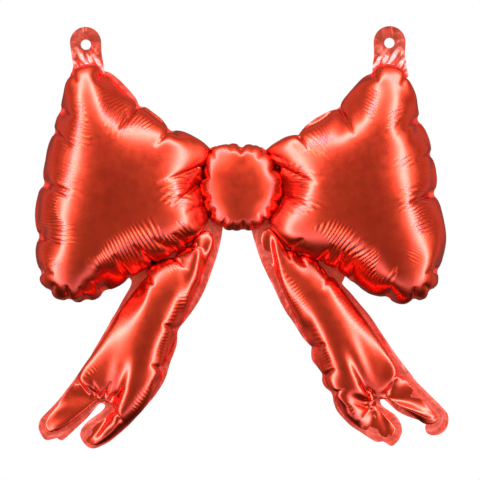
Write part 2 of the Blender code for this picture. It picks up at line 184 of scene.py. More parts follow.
RIGHT_TAIL_RIM = [
    (96.7, -224.7), (95.7, -226.6), (98.6, -230.4), (103.3, -235.1), (112.8, -246.5),
    (122.3, -257.9), (131.8, -272.1), (141.3, -286.3), (150.7, -299.6), (160.2, -311.9),
    (166.8, -320.4), (174.4, -328.0), (182.0, -335.6), (189.6, -343.2), (195.3, -349.8),
    (196.7, -356.4), (194.8, -364.0), (188.7, -369.7), (182.0, -371.1), (176.3, -368.8),
    (174.4, -364.0), (174.9, -359.3), (167.8, -356.4), (157.4, -352.7), (148.8, -348.4),
    (142.2, -342.7), (136.5, -337.5), (133.2, -335.6), (131.8, -338.4), (133.7, -342.7),
    (139.4, -347.0), (146.0, -351.7), (150.7, -358.3), (152.6, -365.9), (150.7, -372.6),
    (147.9, -377.3), (143.1, -381.1), (139.4, -379.7), (134.6, -376.8), (128.9, -377.3),
    (123.2, -374.5), (113.8, -368.3), (104.3, -362.1), (95.7, -353.6), (90.5, -347.0),
    (87.7, -339.4), (85.8, -330.9), (79.6, -325.2), (76.8, -319.5), (76.8, -312.8), (73.0, -307.2),
    (67.3, -299.6), (66.4, -292.0), (66.8, -287.2), (64.5, -284.9), (58.8, -278.7), (53.1, -269.7),
    (48.3, -262.1), (43.1, -255.0), (37.4, -244.6), (31.8, -232.3), (25.1, -219.0), (19.0, -205.7),
    (14.2, -191.5), (10.0, -176.8), (10.4, -170.6), (18.0, -163.1), (25.6, -161.2), (30.3, -168.7),
    (35.1, -176.3), (42.7, -185.8), (52.1, -191.5), (63.5, -195.3), (73.0, -200.0), (82.5, -204.8),
    (92.0, -210.5), (98.6, -218.0),
]

# The loop's upper rim stands clear of its film here.
LEFT_LOOP_FLANGE = [(-130.8, -25.6), (-124.2, -27.0), (-114.7, -34.6), (-105.2, -44.6), (-98.6, -53.1)]
# Creases run inward from the pinches: (start, end, depth), all in mm.
CREASES = {
    "knot": [
        ((0, -98), (0, -107), 2.5), ((22, -101), (15, -110), 2.0), ((34, -117), (27, -121), 2.0),
        ((38, -151), (28, -148), 2.0), ((23, -169), (17, -160), 2.0), ((2, -175), (2, -166), 2.5),
        ((-18, -173), (-14, -164), 2.0), ((-31, -162), (-24, -155), 2.0),
        ((-37, -147), (-28, -145), 2.5), ((-37, -126), (-29, -127), 2.5),
        ((-30, -101), (-24, -110), 1.8), ((-11, -96), (-9, -103), 1.2), ((11, -97), (9, -104), 1.2),
        ((-8, -175), (-7, -168), 1.2), ((12, -174), (10, -167), 1.2), ((30, -160), (23, -155), 1.5),
        ((40, -135), (32, -135), 1.2),
    ],
    "left_loop": [
        ((-159, -29), (-154, -38), 2.0), ((-130, -27), (-136, -39), 2.5),
        ((-97, -59), (-115, -83), 3.6), ((-67, -82), (-81, -99), 3.0),
        ((-170, -64), (-155, -72), 3.0), ((-175, -84), (-158, -100), 3.2),
        ((-186, -133), (-157, -141), 3.2), ((-185, -135), (-160, -148), 2.4),
        ((-191, -183), (-169, -190), 3.0), ((-189, -216), (-175, -218), 2.5),
        ((-180, -233), (-173, -227), 2.0), ((-163, -241), (-164, -227), 2.5),
        ((-147, -242), (-151, -229), 2.0), ((-129, -233), (-142, -225), 2.8),
        ((-106, -221), (-119, -199), 3.2), ((-82, -209), (-102, -190), 3.0),
        ((-64, -197), (-84, -184), 2.8), ((-50, -191), (-65, -179), 2.0),
        ((-37, -118), (-79, -133), 3.2), ((-39, -134), (-66, -155), 3.0),
        ((-35, -153), (-53, -161), 1.6),
    ],
    "right_loop": [
        ((124, -27), (129, -38), 2.0), ((155, -32), (150, -41), 2.0), ((93, -61), (106, -89), 3.6),
        ((54, -87), (61, -102), 2.6), ((167, -72), (151, -83), 3.0),
        ((178, -105), (164, -113), 2.6), ((182, -142), (156, -152), 3.2),
        ((185, -215), (172, -217), 2.6), ((178, -233), (171, -227), 2.0),
        ((164, -241), (162, -229), 2.2), ((139, -240), (141, -228), 2.0),
        ((103, -226), (105, -203), 3.0), ((91, -212), (95, -197), 2.2),
        ((76, -206), (87, -190), 2.6), ((45, -194), (59, -184), 2.0), ((35, -118), (72, -134), 3.0),
        ((41, -144), (65, -156), 2.6), ((26, -105), (46, -113), 1.6),
    ],
    "left_tail": [
        ((-89, -220), (-82, -229), 2.5), ((-63, -202), (-47, -215), 2.5),
        ((-47, -190), (-32, -194), 2.2), ((-61, -271), (-74, -264), 2.5),
        ((-75, -307), (-85, -303), 2.2), ((-157, -319), (-142, -335), 2.6),
        ((-137, -334), (-147, -322), 2.0), ((-137, -333), (-141, -317), 2.0),
        ((-129, -332), (-122, -318), 2.2), ((-121, -347), (-108, -361), 2.2),
        ((-122, -335), (-109, -323), 1.6),
    ],
    "right_tail": [
        ((44, -194), (48, -207), 2.0), ((56, -199), (62, -212), 2.2), ((76, -209), (81, -224), 2.4),
        ((85, -219), (77, -233), 2.0), ((68, -289), (80, -283), 2.6), ((78, -314), (89, -307), 2.0),
        ((87, -331), (99, -326), 2.4), ((123, -345), (101, -338), 2.2),
        ((124, -332), (110, -319), 2.2), ((138, -332), (146, -317), 2.4),
        ((151, -312), (142, -321), 2.0), ((123, -346), (114, -356), 1.6),
    ],
}

# ---- how the film is cut, welded and inflated -----------------------------------------------------

STEP = 2.7   # mesh size of the film before it is halved, in mm
RIM_STEP = 1.7                      # mesh size of the weld rims, in mm
TAB_STEP = 1.5                      # mesh size of the tabs, in mm
SEED = 7

# All in mm. The film draws in a little from its weld line as it fills, so the weld lies just outside
# the outline that the filled chamber has, and an inset below zero means outside.
WELD_INSET = {"knot": -2.0, "loop": -0.8, "tail": -1.0}
SHARED_INSET = -4.5                 # where two chambers' films press on each other
SHARED_GAP = 3.0                    # chambers closer together than this press on each other fully
SHARED_FADE = 7.0                   # and those this much further apart don't
SHARED_SLACK = 0.75                 # the share of its slack that a film keeps where it presses
OVERHANG = 1.2                      # how far a film may hang out past its outline
WIDEST = 85.0                       # half width at which the cut stops growing with the chamber
PINCH_WIDTH = 2.2                   # opening of a pinch in the weld
PINCH_DEPTH = (1.5, 3.5)            # the shallowest and the deepest pinch
CREASE_WIDTH = 1.9                  # how quickly the film rises again beside a crease
CREASE_PRESS = 1.7                  # times each crease's listed depth
UNDER_FILM = 7.0                    # how far a weld rim reaches under its chamber's film
FILM = 0.4                          # thickness of a weld rim, where the real two films are thinner
PLY = 0.3                           # thickness of one ply of a tab, where the real film is thinner
PLY_APART = 0.32                    # from the middle of one ply to the middle of the other
KNOT_REACH = 1.8                    # how much further the knot's rim reaches beside a loop
KNOT_BESIDE = 6.0                   # and how near the loop it is there


def resample(points, count):
    """count + 1 points evenly spaced along an open line, its ends kept."""
    points = np.asarray(points, float)
    run = np.r_[0, np.cumsum(np.linalg.norm(np.diff(points, axis=0), axis=1))]
    at = np.linspace(0, run[-1], count + 1)
    return np.c_[np.interp(at, run, points[:, 0]), np.interp(at, run, points[:, 1])]


def rounded(points, steps=6):
    """A Catmull-Rom curve through an open line's points."""
    p = np.asarray(points, float)
    p = np.vstack([2 * p[0] - p[1], p, 2 * p[-1] - p[-2]])
    t = (np.arange(steps) / steps)[:, None]
    out = []
    for a, b, c, d in zip(p[:-3], p[1:-2], p[2:-1], p[3:]):
        out.append(0.5 * (2 * b + (c - a) * t + (2 * a - 5 * b + 4 * c - d) * t**2
                          + (3 * b - a - 3 * c + d) * t**3))
    return np.vstack(out + [p[-2:-1]])


def smoothed(ring, times):
    for _ in range(times):
        ring = (np.roll(ring, 1, 0) + 2 * ring + np.roll(ring, -1, 0)) / 4
    return ring


def outward(ring):
    """Unit vectors pointing out of a clockwise ring."""
    along = np.roll(ring, -1, 0) - np.roll(ring, 1, 0)
    along /= np.linalg.norm(along, axis=1)[:, None] + 1e-12
    return np.c_[-along[:, 1], along[:, 0]]


def half_width(ring, out):
    """Half the distance straight across the ring from each of its points."""
    a, edge = ring, np.roll(ring, -1, 0) - ring
    result = np.zeros(len(ring))
    for i, (start, inward) in enumerate(zip(ring - 0.5 * out, -out)):
        cross = inward[0] * edge[:, 1] - inward[1] * edge[:, 0]
        cross = np.where(abs(cross) < 1e-9, 1e-9, cross)
        gap = a - start
        far = (gap[:, 0] * edge[:, 1] - gap[:, 1] * edge[:, 0]) / cross
        share = (gap[:, 0] * inward[1] - gap[:, 1] * inward[0]) / cross
        hit = far[(far > 0) & (share >= 0) & (share <= 1)]
        result[i] = hit.min() / 2 if len(hit) else 5
    return result


def inside(points, ring):
    x, z = points[:, :1], points[:, 1:]
    a, b = ring, np.roll(ring, -1, 0)
    spans = (a[:, 1] > z) != (b[:, 1] > z)
    rise = np.where(b[:, 1] == a[:, 1], 1e-9, b[:, 1] - a[:, 1])
    return ((a[:, 0] + (z - a[:, 1]) / rise * (b[:, 0] - a[:, 0]) > x) & spans).sum(1) % 2 == 1


def nearest(points, ring):
    """The nearest point of a closed ring to each point, how far it is, and how far round it lies."""
    a, edge = ring, np.roll(ring, -1, 0) - ring
    size = (edge**2).sum(1) + 1e-12
    turns = np.r_[0, np.cumsum(np.sqrt(size))]
    found, away, run = np.zeros_like(points), np.zeros(len(points)), np.zeros(len(points))
    for i in range(0, len(points), 500):
        gap = points[i:i + 500, None] - a
        t = np.clip((gap * edge).sum(2) / size, 0, 1)
        foot = a + t[..., None] * edge
        d = np.linalg.norm(points[i:i + 500, None] - foot, axis=2)
        best = d.argmin(1)
        row = np.arange(len(best))
        found[i:i + 500] = foot[row, best]
        away[i:i + 500] = d.min(1)
        run[i:i + 500] = turns[best] + t[row, best] * (turns[best + 1] - turns[best])
    return found, away, run


def triangles(ring, step, holes=(), seed=SEED):
    """(points, triangles) filling a ring, less its holes. The rings' own points come first."""
    rng = np.random.default_rng(seed)
    low, high = ring.min(0), ring.max(0)
    rows = []
    for k, up in enumerate(np.arange(low[1], high[1], step * 0.866)):
        across = np.arange(low[0] + k % 2 * step / 2, high[0], step)
        rows.append(np.c_[across, np.full(len(across), up)])
    grid = np.vstack(rows)
    grid = grid + rng.uniform(-0.2, 0.2, grid.shape) * step
    grid = grid[inside(grid, ring)]
    for hole in holes:
        grid = grid[~inside(grid, hole)]
    rings = [ring, *holes]
    for r in rings:
        grid = grid[nearest(grid, r)[1] > 0.7 * step]
    edges, first = [], 0
    for r in rings:
        edges += [(first + i, first + (i + 1) % len(r)) for i in range(len(r))]
        first += len(r)
    points = np.vstack([*rings, grid])
    _, _, faces, origin, _, _ = delaunay_2d_cdt([tuple(p) for p in points], edges, [], 0, 1e-6)
    index = [min(o) if o else -1 for o in origin]
    faces = [[index[i] for i in f] for f in faces]
    faces = np.array([f for f in faces if min(f) >= 0 and len(set(f)) == 3])
    middle = points[faces].mean(1)
    keep = inside(middle, ring)
    for hole in holes:
        keep &= ~inside(middle, hole)
    faces = faces[keep]
    turn = np.cross(points[faces[:, 1]] - points[faces[:, 0]], points[faces[:, 2]] - points[faces[:, 0]])
    faces[turn < 0] = faces[turn < 0][:, ::-1]
    return points, faces


def length(points):
    return float(np.linalg.norm(np.diff(points, axis=0), axis=1).sum())


def weld_and_cut(lobes, slack, weld_inset, evenness, neighbours):
    """(weld line, flat cut line) of a chamber, point for point, both clockwise rings.

    The cut is the outline moved out by a share, slack, of the chamber's local half width. The weld
    keeps the cut's points, and takes up part of what is too long in a narrow pinch between two lobes.
    Along a neighbouring chamber the cut has less slack, because the two films press on each other."""
    ends = [lobe[0] for lobe in lobes]
    curves = [rounded([*lobe, ends[(k + 1) % len(lobes)]]) for k, lobe in enumerate(lobes)]
    fine = [resample(c, max(3, round(length(c) / 1.5))) for c in curves]
    ring = np.vstack([f[:-1] for f in fine])
    starts = np.cumsum([0] + [len(f) - 1 for f in fine])
    plain = smoothed(ring, evenness)
    out = outward(plain)
    wide = smoothed(np.minimum(half_width(plain, out), WIDEST)[:, None], 80)[:, 0]
    free = np.ones(len(ring))
    for other in neighbours:
        gap = nearest(ring, other)[1]
        free = np.minimum(free, np.clip((gap - SHARED_GAP) / SHARED_FADE, 0, 1))
    free = smoothed(free[:, None], 6)
    give = slack * (SHARED_SLACK + (1 - SHARED_SLACK) * free)
    inset = SHARED_INSET + (weld_inset - SHARED_INSET) * free
    cut = smoothed(plain + out * (give * wide[:, None] - inset), 25)
    soft_out = outward(smoothed(ring, 8))
    welds, cuts = [], []
    for k in range(len(lobes)):
        i = np.arange(starts[k], starts[k + 1] + 1) % len(ring)
        welds.append(ring[i] - soft_out[i] * inset[i])
        cuts.append(cut[i])
    spare = np.array([max(0.0, length(c) - length(w)) for c, w in zip(cuts, welds)])
    depth = np.clip((np.roll(spare, 1) + spare) / 4 + PINCH_WIDTH / 2, *PINCH_DEPTH)
    depth = np.minimum(depth, 0.3 * wide[starts[:-1] % len(ring)])
    weld, flat = [], []
    for k, (w, c) in enumerate(zip(welds, cuts)):
        k2 = (k + 1) % len(lobes)
        i, j = starts[k] % len(ring), starts[k2] % len(ring)
        first = w[0] - soft_out[i] * depth[k]
        last = w[-1] - soft_out[j] * depth[k2]
        away_first = np.linalg.norm(w - w[0], axis=1) > PINCH_WIDTH / 2
        away_last = np.linalg.norm(w - w[-1], axis=1) > PINCH_WIDTH / 2
        line = np.vstack([first, w[away_first & away_last], last])
        count = max(3, round(length(c) / STEP))
        weld.append(resample(line, count)[:-1])
        flat.append(resample(c, count)[:-1])
    return np.vstack(weld), np.vstack(flat)


def inflate(name, weld, flat, pressure=60.0, frames=30):
    """The inflated film of a chamber as (points in mm, triangles)."""
    points, faces = triangles(flat, STEP * 1.05)
    rim, count = len(flat), len(points)
    inner = count - rim
    away = np.r_[np.zeros(rim), nearest(points[rim:], flat)[1]]
    weight = 1 / (np.linalg.norm(points[rim:, None] - flat, axis=2)**2 + 1)
    moved = points.copy()
    moved[:rim] = weld
    moved[rim:] += weight @ (weld - flat) / weight.sum(1)[:, None]
    lift = 6.0 * np.sqrt(np.clip(away / away.max(), 0, 1))
    back = np.r_[np.arange(rim), np.arange(inner) + count]
    # Seen from the front, +X is right and +Z is up, so a counter-clockwise triangle faces -Y.
    all_faces = np.vstack([faces, back[faces][:, ::-1]])

    def both_sides(flat_points):
        front = np.c_[flat_points[:, 0], -lift, flat_points[:, 1]]
        rear = np.c_[flat_points[rim:, 0], lift[rim:], flat_points[rim:, 1]]
        return np.vstack([front, rear])

    grown = 10 * MM     # the simulation runs at ten times full size, where the solver is steadier
    mesh = bpy.data.meshes.new(name + "_film")
    mesh.from_pydata((both_sides(points) * grown).tolist(), [], all_faces.tolist())
    film = bpy.data.objects.new(name + "_film", mesh)
    bpy.context.scene.collection.objects.link(film)
    film.shape_key_add(name="Basis")
    welded = film.shape_key_add(name="welded")
    welded.data.foreach_set("co", (both_sides(moved) * grown).astype(np.float32).ravel())
    for at, value in ((1, 0.0), (12, 1.0)):
        welded.value = value
        welded.keyframe_insert("value", frame=at)
    film.vertex_groups.new(name="weld").add(list(range(rim)), 1.0, "REPLACE")
    cloth = film.modifiers.new("inflation", "CLOTH")
    s = cloth.settings
    s.quality = 6
    s.mass = 0.05
    s.air_damping = 2.0
    s.tension_stiffness = 80.0
    s.compression_stiffness = 40.0
    s.shear_stiffness = 20.0
    s.bending_stiffness = 0.02
    s.tension_damping = 5.0
    s.compression_damping = 1.0
    s.shear_damping = 5.0
    s.bending_damping = 0.5
    s.vertex_group_mass = "weld"
    s.use_pressure = True
    s.uniform_pressure_force = pressure
    s.effector_weights.gravity = 0.0
    cloth.collision_settings.use_collision = False
    cloth.collision_settings.use_self_collision = False
    cloth.point_cache.frame_start = 1
    cloth.point_cache.frame_end = frames
    for at in range(1, frames + 1):
        bpy.context.scene.frame_set(at)
    final = film.evaluated_get(bpy.context.evaluated_depsgraph_get()).to_mesh()
    co = np.zeros(len(final.vertices) * 3)
    final.vertices.foreach_get("co", co)
    bpy.data.objects.remove(film)
    bpy.context.scene.frame_set(1)
    return co.reshape(-1, 3) / grown, all_faces


def capped(points, ring, room):
    """The points, with none further than room mm outside the ring as seen from the front."""
    flat = points[:, [0, 2]]
    foot, away, _ = nearest(flat, ring)
    out = (flat - foot) / np.maximum(away, 1e-6)[:, None]
    far = ~inside(flat, ring) & (away > room)
    flat[far] = foot[far] + out[far] * room
    points[:, [0, 2]] = flat
    return points


def relaxed(points, faces, fixed, times):
    """The points with short wrinkles smoothed away, the first fixed ones kept."""
    pairs = np.vstack([faces[:, [0, 1]], faces[:, [1, 2]], faces[:, [2, 0]]])
    pairs = np.vstack([pairs, pairs[:, ::-1]])
    count = np.maximum(np.bincount(pairs[:, 0], minlength=len(points)), 1)[:, None]
    for _ in range(times):
        for share in (0.5, -0.52):      # the second half gives back the volume that the first takes
            total = np.stack([np.bincount(pairs[:, 0], points[pairs[:, 1], k], len(points))
                              for k in range(3)], 1)
            change = total / count - points
            change[:fixed] = 0
            points = points + share * change
    return points


def halved(points, faces):
    """Each triangle split in four, by Loop's rule, so that a curved film stays curved."""
    pairs = np.vstack([faces[:, [0, 1]], faces[:, [1, 2]], faces[:, [2, 0]]])
    facing = np.r_[faces[:, 2], faces[:, 0], faces[:, 1]]
    edges, which = np.unique(np.sort(pairs, 1), axis=0, return_inverse=True)
    which = which.ravel()
    opposite = np.stack([np.bincount(which, points[facing, k], len(edges)) for k in range(3)], 1)
    middle = (points[edges[:, 0]] + points[edges[:, 1]]) / 2
    # An edge between two weld points belongs to the front and to the back, four triangles in all.
    plain = (np.bincount(which, minlength=len(edges)) == 2)[:, None]
    middles = np.where(plain, 0.75 * middle + 0.125 * opposite, middle)
    both = np.vstack([edges, edges[:, ::-1]])
    count = np.maximum(np.bincount(both[:, 0], minlength=len(points)), 1)[:, None]
    total = np.stack([np.bincount(both[:, 0], points[both[:, 1], k], len(points)) for k in range(3)], 1)
    beta = (0.625 - (0.375 + 0.25 * np.cos(2 * np.pi / count))**2) / count
    kept = (1 - count * beta) * points + beta * total
    new = which.reshape(3, -1).T + len(points)
    a, b, c = faces.T
    ab, bc, ca = new.T
    split = np.vstack([np.c_[a, ab, ca], np.c_[ab, b, bc], np.c_[ca, bc, c], np.c_[ab, bc, ca]])
    return np.vstack([kept, middles]), split


def vertex_normals(points, faces):
    turn = np.cross(points[faces[:, 1]] - points[faces[:, 0]], points[faces[:, 2]] - points[faces[:, 0]])
    total = np.zeros_like(points)
    for k in range(3):
        np.add.at(total, faces[:, k], turn)
    return total / (np.linalg.norm(total, axis=1)[:, None] + 1e-12)


def creased(points, faces, creases):
    """The film pressed in along each crease: (start, end, depth in mm), deepest at its start."""
    normals = vertex_normals(points, faces)
    flat = points[:, [0, 2]]
    press = np.zeros(len(points))
    for start, end, depth in creases:
        start, end = np.array(start), np.array(end)
        reach = np.linalg.norm(end - start)
        ahead = (end - start) / reach
        along = (flat - start) @ ahead
        side = abs((flat - start) @ np.array((-ahead[1], ahead[0])))
        fade = np.clip(1 - along / reach, 0, 1) * np.clip(1 + along / 5, 0, 1)
        press = np.maximum(press, CREASE_PRESS * depth * fade * np.exp(-side / CREASE_WIDTH))
    return points - normals * press[:, None]


def new_piece(name, points, faces, material, **attributes):
    """A smooth-shaded mesh object from points in mm, with per-point attributes for its material."""
    mesh = bpy.data.meshes.new(name)
    mesh.from_pydata((points * MM).tolist(), [], [list(map(int, f)) for f in faces])
    for key, values in attributes.items():
        kind = "FLOAT" if values.ndim == 1 else "FLOAT_VECTOR"
        layer = mesh.attributes.new(key, kind, "POINT")
        layer.data.foreach_set("value" if values.ndim == 1 else "vector",
                               values.astype(np.float32).ravel())
    piece = bpy.data.objects.new(name, mesh)
    bpy.context.scene.collection.objects.link(piece)
    for face in piece.data.polygons:
        face.use_smooth = True
    piece.data.materials.clear()
    piece.data.materials.append(material)
    return piece


# ---- materials --------------------------------------------------------------------------------------

class Nodes:
    """Short calls for a material's node tree."""

    def __init__(self, name):
        self.material = bpy.data.materials.new(name)
        self.material.use_nodes = True
        self.tree = self.material.node_tree
        self.shader = self.tree.nodes["Principled BSDF"]

    def add(self, kind, **values):
        node = self.tree.nodes.new(kind)
        for key, value in values.items():
            setattr(node, key, value)
        return node

    def link(self, start, end):
        self.tree.links.new(start, end)

    def maths(self, operation, a, b=None, clamp=False):
        node = self.add("ShaderNodeMath", operation=operation, use_clamp=clamp)
        for socket, value in zip(node.inputs, (a, b)):
            if isinstance(value, (int, float)):
                socket.default_value = value
            elif value is not None:
                self.link(value, socket)
        return node.outputs[0]

    def attribute(self, name, output="Fac"):
        return self.add("ShaderNodeAttribute", attribute_name=name).outputs[output]

    def noise(self, vector, scale, detail=2.0, roughness=0.5):
        node = self.add("ShaderNodeTexNoise")
        node.inputs["Scale"].default_value = scale
        node.inputs["Detail"].default_value = detail
        node.inputs["Roughness"].default_value = roughness
        self.link(vector, node.inputs["Vector"])
        return node.outputs["Fac"]

    def spread(self, value, low, high, to_low=0.0, to_high=1.0):
        node = self.add("ShaderNodeMapRange", interpolation_type="SMOOTHSTEP")
        for socket, number in zip(list(node.inputs)[1:5], (low, high, to_low, to_high)):
            socket.default_value = number
        self.link(value, node.inputs[0])
        return node.outputs[0]

    def colours(self, value, *stops):
        node = self.add("ShaderNodeValToRGB")
        ramp = node.color_ramp.elements
        while len(ramp) < len(stops):
            ramp.new(0.5)
        for element, (position, colour) in zip(ramp, stops):
            element.position = position
            element.color = (*colour, 1.0)
        self.link(value, node.inputs[0])
        return node.outputs["Color"]

    def bump(self, height, distance, strength=1.0, normal=None):
        node = self.add("ShaderNodeBump")
        node.inputs["Strength"].default_value = strength
        node.inputs["Distance"].default_value = distance
        self.link(height, node.inputs["Height"])
        if normal is not None:
            self.link(normal, node.inputs["Normal"])
        return node.outputs["Normal"]


FOIL_RED = (0.86, 0.060, 0.018)
FOIL_DEEP = (0.80, 0.046, 0.013)
WELD_RED_PAINTED_SHEEN = (0.96, 0.160, 0.100)     # painted sheen: paler than the chambers' red, standing in for the light that the flat rims and tabs catch
WELD_DEEP_PAINTED_SHEEN = (0.88, 0.085, 0.040)
WRINKLE_SPACING = 3.7               # fine puckers across a weld, in mm
# The least and the most roughness of each part's film.
HAZE = {"knot": (0.36, 0.44), "loop": (0.26, 0.33), "tail": (0.26, 0.33)}
RIM_HAZE = (0.48, 0.62)
TAB_HAZE = (0.34, 0.48)


def foil(name, chamber, haze):
    """Red metallised film: a satin mirror, slightly uneven in tint, with fine puckers off its welds. The
    weld rims and tabs get a paler red, a painted sheen for the light that these flat parts catch.
    """
    n = Nodes(name)
    place = n.add("ShaderNodeTexCoord").outputs["Object"]
    cloud = n.noise(place, 38.0, 3.0)
    # rims and tabs take the paler reds: painted sheen for the light on these flat parts
    deep, red = (FOIL_DEEP, FOIL_RED) if chamber else (WELD_DEEP_PAINTED_SHEEN, WELD_RED_PAINTED_SHEEN)
    tint = n.colours(cloud, (0.3, deep), (0.62, red))
    n.link(tint, n.shader.inputs["Base Color"])
    n.shader.inputs["Metallic"].default_value = 1.0
    n.link(n.spread(n.noise(place, 120.0, 4.0, 0.6), 0.3, 0.7, *haze), n.shader.inputs["Roughness"])
    n.shader.inputs["Specular Tint"].default_value = (0.50, 0.06, 0.02, 1.0)
    n.shader.inputs["Coat Weight"].default_value = 0.55
    n.shader.inputs["Coat Roughness"].default_value = 0.20
    normal = n.bump(n.noise(place, 60.0, 2.0), 0.0006, 0.2)
    if chamber:
        turn = n.maths("MULTIPLY", n.attribute("weld_run"), 2 * math.pi / WRINKLE_SPACING)
        turn = n.maths("ADD", turn, n.maths("MULTIPLY", n.noise(place, 26.0, 0.0), 26.0))
        patch = n.spread(n.noise(place, 20.0, 0.0), 0.36, 0.55)
        height = n.maths("MULTIPLY", n.maths("SINE", turn), n.attribute("crimp"))
        height = n.maths("MULTIPLY", height, patch)
        normal = n.bump(height, 0.0005, 0.85, normal)
    else:
        normal = n.bump(n.noise(place, 150.0, 1.5), 0.0016, 0.8, normal)
    n.link(normal, n.shader.inputs["Normal"])
    return n.material


def clear_film(name):
    """The valve's thin inner film: clear, faintly milky and creased."""
    n = Nodes(name)
    place = n.add("ShaderNodeTexCoord").outputs["Object"]
    n.link(n.colours(n.noise(place, 60.0, 3.0), (0.3, (0.72, 0.74, 0.76)), (0.7, (0.86, 0.87, 0.88))),
           n.shader.inputs["Base Color"])
    n.link(n.spread(n.noise(place, 150.0, 3.0), 0.3, 0.7, 0.12, 0.3), n.shader.inputs["Roughness"])
    n.link(n.bump(n.noise(place, 220.0, 2.0), 0.0008, 0.5), n.shader.inputs["Normal"])
    return n.material


# ---- chambers ---------------------------------------------------------------------------------------

def ring_of(lobes):
    ends = [lobe[0] for lobe in lobes]
    return np.vstack([rounded([*lobe, ends[(k + 1) % len(lobes)]])[:-1]
                      for k, lobe in enumerate(lobes)])


OUTLINES = {"knot": KNOT, "left_loop": LEFT_LOOP, "right_loop": RIGHT_LOOP,
            "left_tail": LEFT_TAIL, "right_tail": RIGHT_TAIL}
TOUCHING = {"knot": ("left_loop", "right_loop"), "left_loop": ("knot", "left_tail"),
            "right_loop": ("knot", "right_tail"), "left_tail": ("left_loop",),
            "right_tail": ("right_loop",)}
EVENNESS = {"knot": 60, "loop": 60, "tail": 20}     # rounds of smoothing of the cut line
SLACK = {"knot": 0.24, "loop": 0.29, "tail": 0.45}  # how much larger the cut is, by half width
RELAX = {"knot": 110, "loop": 90, "tail": 40}       # rounds of smoothing of the filled film
CRIMP_DEPTH = {"knot": 0.25, "loop": 0.8, "tail": 0.30}     # strength of the fine wrinkles
CRIMP_REACH = {"knot": 13.0, "loop": 42.0, "tail": 16.0}    # how far fine wrinkles run, in mm
WELDS = {}


def crimp(points, faces, away, run, reach):
    """How strong the fine wrinkles across the weld are: none at the weld, in the middle of the film,
    or where the nearest part of the weld jumps from one place to another."""
    pairs = np.vstack([faces[:, [0, 1]], faces[:, [1, 2]], faces[:, [2, 0]]])
    jump = abs(run[pairs[:, 0]] - run[pairs[:, 1]])
    jump /= np.linalg.norm(points[pairs[:, 0]] - points[pairs[:, 1]], axis=1) + 0.2
    worst = np.zeros(len(points))
    np.maximum.at(worst, pairs[:, 0], jump)
    np.maximum.at(worst, pairs[:, 1], jump)
    for _ in range(4):
        spread = worst.copy()
        np.maximum.at(spread, pairs[:, 0], worst[pairs[:, 1]])
        np.maximum.at(spread, pairs[:, 1], worst[pairs[:, 0]])
        worst = spread
    steady = np.clip((2.2 - worst) / 0.8, 0, 1)
    steady = relaxed(steady[:, None] * np.ones(3), faces, 0, 4)[:, 0]
    rise = np.clip((away - 0.12 * reach) / (0.28 * reach), 0, 1)
    fall = np.clip((reach - away) / (0.4 * reach), 0, 1)
    return rise * fall * steady**2


def chamber(name):
    kind = name.split("_")[-1]
    weld, flat = weld_and_cut(OUTLINES[name], SLACK[kind], WELD_INSET[kind], EVENNESS[kind],
                              [ring_of(OUTLINES[other]) for other in TOUCHING[name]])
    WELDS[name] = weld
    ring = ring_of(OUTLINES[name])
    points, faces = inflate(name, weld, flat)
    points = capped(points, ring, OVERHANG)
    points = relaxed(points, faces, len(weld), RELAX[kind])
    points, faces = used(*halved(points, faces))
    points = creased(points, faces, CREASES[name])
    guide = smoothed(resample_ring(ring, 2.0), 25)
    _, away, run = nearest(points[:, [0, 2]], guide)
    piece = new_piece(
        name + "_chamber", points, faces, foil(name + "_foil", True, HAZE[kind]),
        weld_run=run, crimp=CRIMP_DEPTH[kind] * crimp(points, faces, away, run, CRIMP_REACH[kind]))
    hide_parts(name + "_front_foil", name + "_back_foil")
    return piece


def slab(name, points, faces, height, thickness, material):
    """A thin closed sheet: triangles in the plane, lifted by height(points) in mm."""
    middle = height(points)
    count = len(points)
    solid = np.vstack([np.c_[points[:, 0], middle - thickness / 2, points[:, 1]],
                       np.c_[points[:, 0], middle + thickness / 2, points[:, 1]]])
    edges = {}
    for f in faces:
        for a, b in ((f[0], f[1]), (f[1], f[2]), (f[2], f[0])):
            edges[(a, b)] = edges.get((a, b), 0) + 1
    walls = [(b, a, a + count, b + count) for a, b in edges if (b, a) not in edges]
    piece = new_piece(name, solid, [*faces, *(faces[:, ::-1] + count), *walls], material)
    piece.data.set_sharp_from_angle(angle=math.radians(50))
    return piece


def rim(name, outer, wave):
    """The flat weld rim round a chamber, from under its film out to the edge."""
    weld = WELDS[name]
    points, faces = triangles(resample_ring(outer, RIM_STEP), RIM_STEP)
    middle = points[faces].mean(1)
    deep = inside(middle, weld) & (nearest(middle, weld)[1] > UNDER_FILM)
    points, faces = used(points, faces[~deep])
    phase = np.random.default_rng(SEED + len(name)).uniform(0, 2 * math.pi, 3)

    def height(p):
        _, away, run = nearest(p, weld)
        streaks = np.sin(away * 1.1 + 1.6 * np.sin(run / 23 + phase[0]))
        crumple = np.sin(run / 3.3 + phase[1] + away / 4) * (0.5 + 0.5 * np.sin(run / 19 + phase[2]))
        free = np.clip(away / 2.5, 0, 1) * ~inside(p, weld)
        return wave * free * (streaks + 0.8 * crumple)

    piece = slab(name + "_rim", points, faces, height, FILM,
                 foil(name + "_rim_foil", False, RIM_HAZE))
    return piece


def used(points, faces):
    """Only the points that the faces use, and the faces renumbered to match."""
    kept, faces = np.unique(faces, return_inverse=True)
    return points[kept], faces.reshape(-1, 3)


def resample_ring(ring, step):
    """A closed ring's points, evenly spaced about step mm apart."""
    closed = np.vstack([ring, ring[:1]])
    return resample(closed, max(8, round(length(closed) / step)))[:-1]


# ---- tabs -------------------------------------------------------------------------------------------

